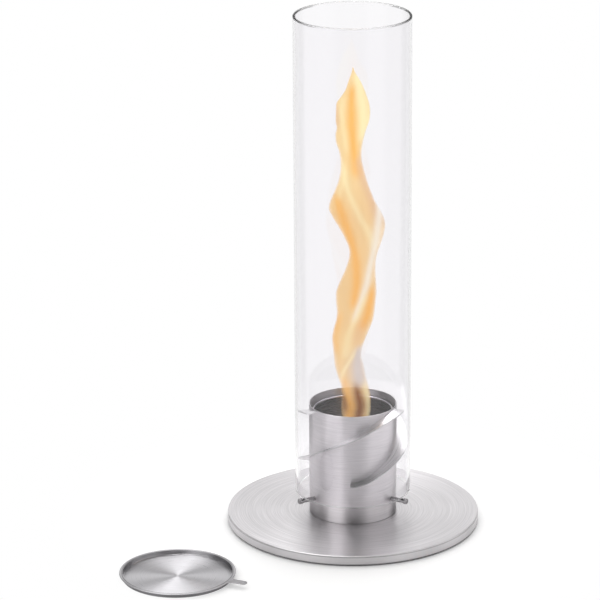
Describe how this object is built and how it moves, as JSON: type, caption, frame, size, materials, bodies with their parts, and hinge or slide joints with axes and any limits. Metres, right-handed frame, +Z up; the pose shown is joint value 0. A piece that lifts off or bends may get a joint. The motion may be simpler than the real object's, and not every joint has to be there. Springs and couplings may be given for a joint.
{
  "type": "bioethanol fireplace",
  "caption": "Tabletop bioethanol fireplace: steel burner tube with spiral air vanes on a round base plate, an open glass cylinder resting on pins, a fuel can and a loose snuffer lid.",
  "frame": {"origin": "centre of the anti-slip mat's underside, on the table, on the burner's axis", "axes": "+Z up along the axis of the burner tube and the glass; -Y is the front; the lid lies at the front left, on -X and -Y"},
  "size_m": [0.3663, 0.3468, 0.5417],
  "materials": {
    "mat_rubber": "matt, fine grain",
    "plate_steel": "brushed in circles, satin",
    "tube_steel": "brushed round the tube, satin",
    "vane_steel": "bright satin sheet",
    "hardware_steel": "plain stainless",
    "can_steel": "drawn sheet, darkened by heat inside",
    "ceramic_wool": "white mineral fibre",
    "clear_glass": "clear, polished, edges melted round",
    "lid_steel": "brushed in circles, satin"
  },
  "bodies": {
    "base": {"anti_slip_mat": "mat_rubber", "base_plate": "plate_steel", "base_screw_1": "hardware_steel", "base_screw_2": "hardware_steel", "base_screw_3": "hardware_steel", "tube_floor": "hardware_steel", "burner_tube": "tube_steel", "air_vane_1": "vane_steel", "air_vane_2": "vane_steel", "air_vane_3": "vane_steel", "rest_pin_1": "tube_steel", "rest_pin_2": "tube_steel", "rest_pin_3": "tube_steel", "pin_nut_1": "hardware_steel", "pin_nut_2": "hardware_steel", "pin_nut_3": "hardware_steel"},
    "can": {"fuel_can": "can_steel", "wool_absorber": "ceramic_wool"},
    "glass": {"glass_cylinder": "clear_glass"},
    "lid": {"snuffer_lid": "lid_steel"}
  },
  "joints": [
    {"name": "glass_lift", "type": "slide", "parent": "base", "child": "glass", "axis": [0, 0, 1], "range_m": [0, 0.12]},
    {"name": "can_lift", "type": "slide", "parent": "base", "child": "can", "axis": [0, 0, 1], "range_m": [0, 0.12]},
    {"name": "lid_lift", "type": "slide", "parent": "base", "child": "lid", "axis": [0, 0, 1], "range_m": [0, 0.56]}
  ]
}
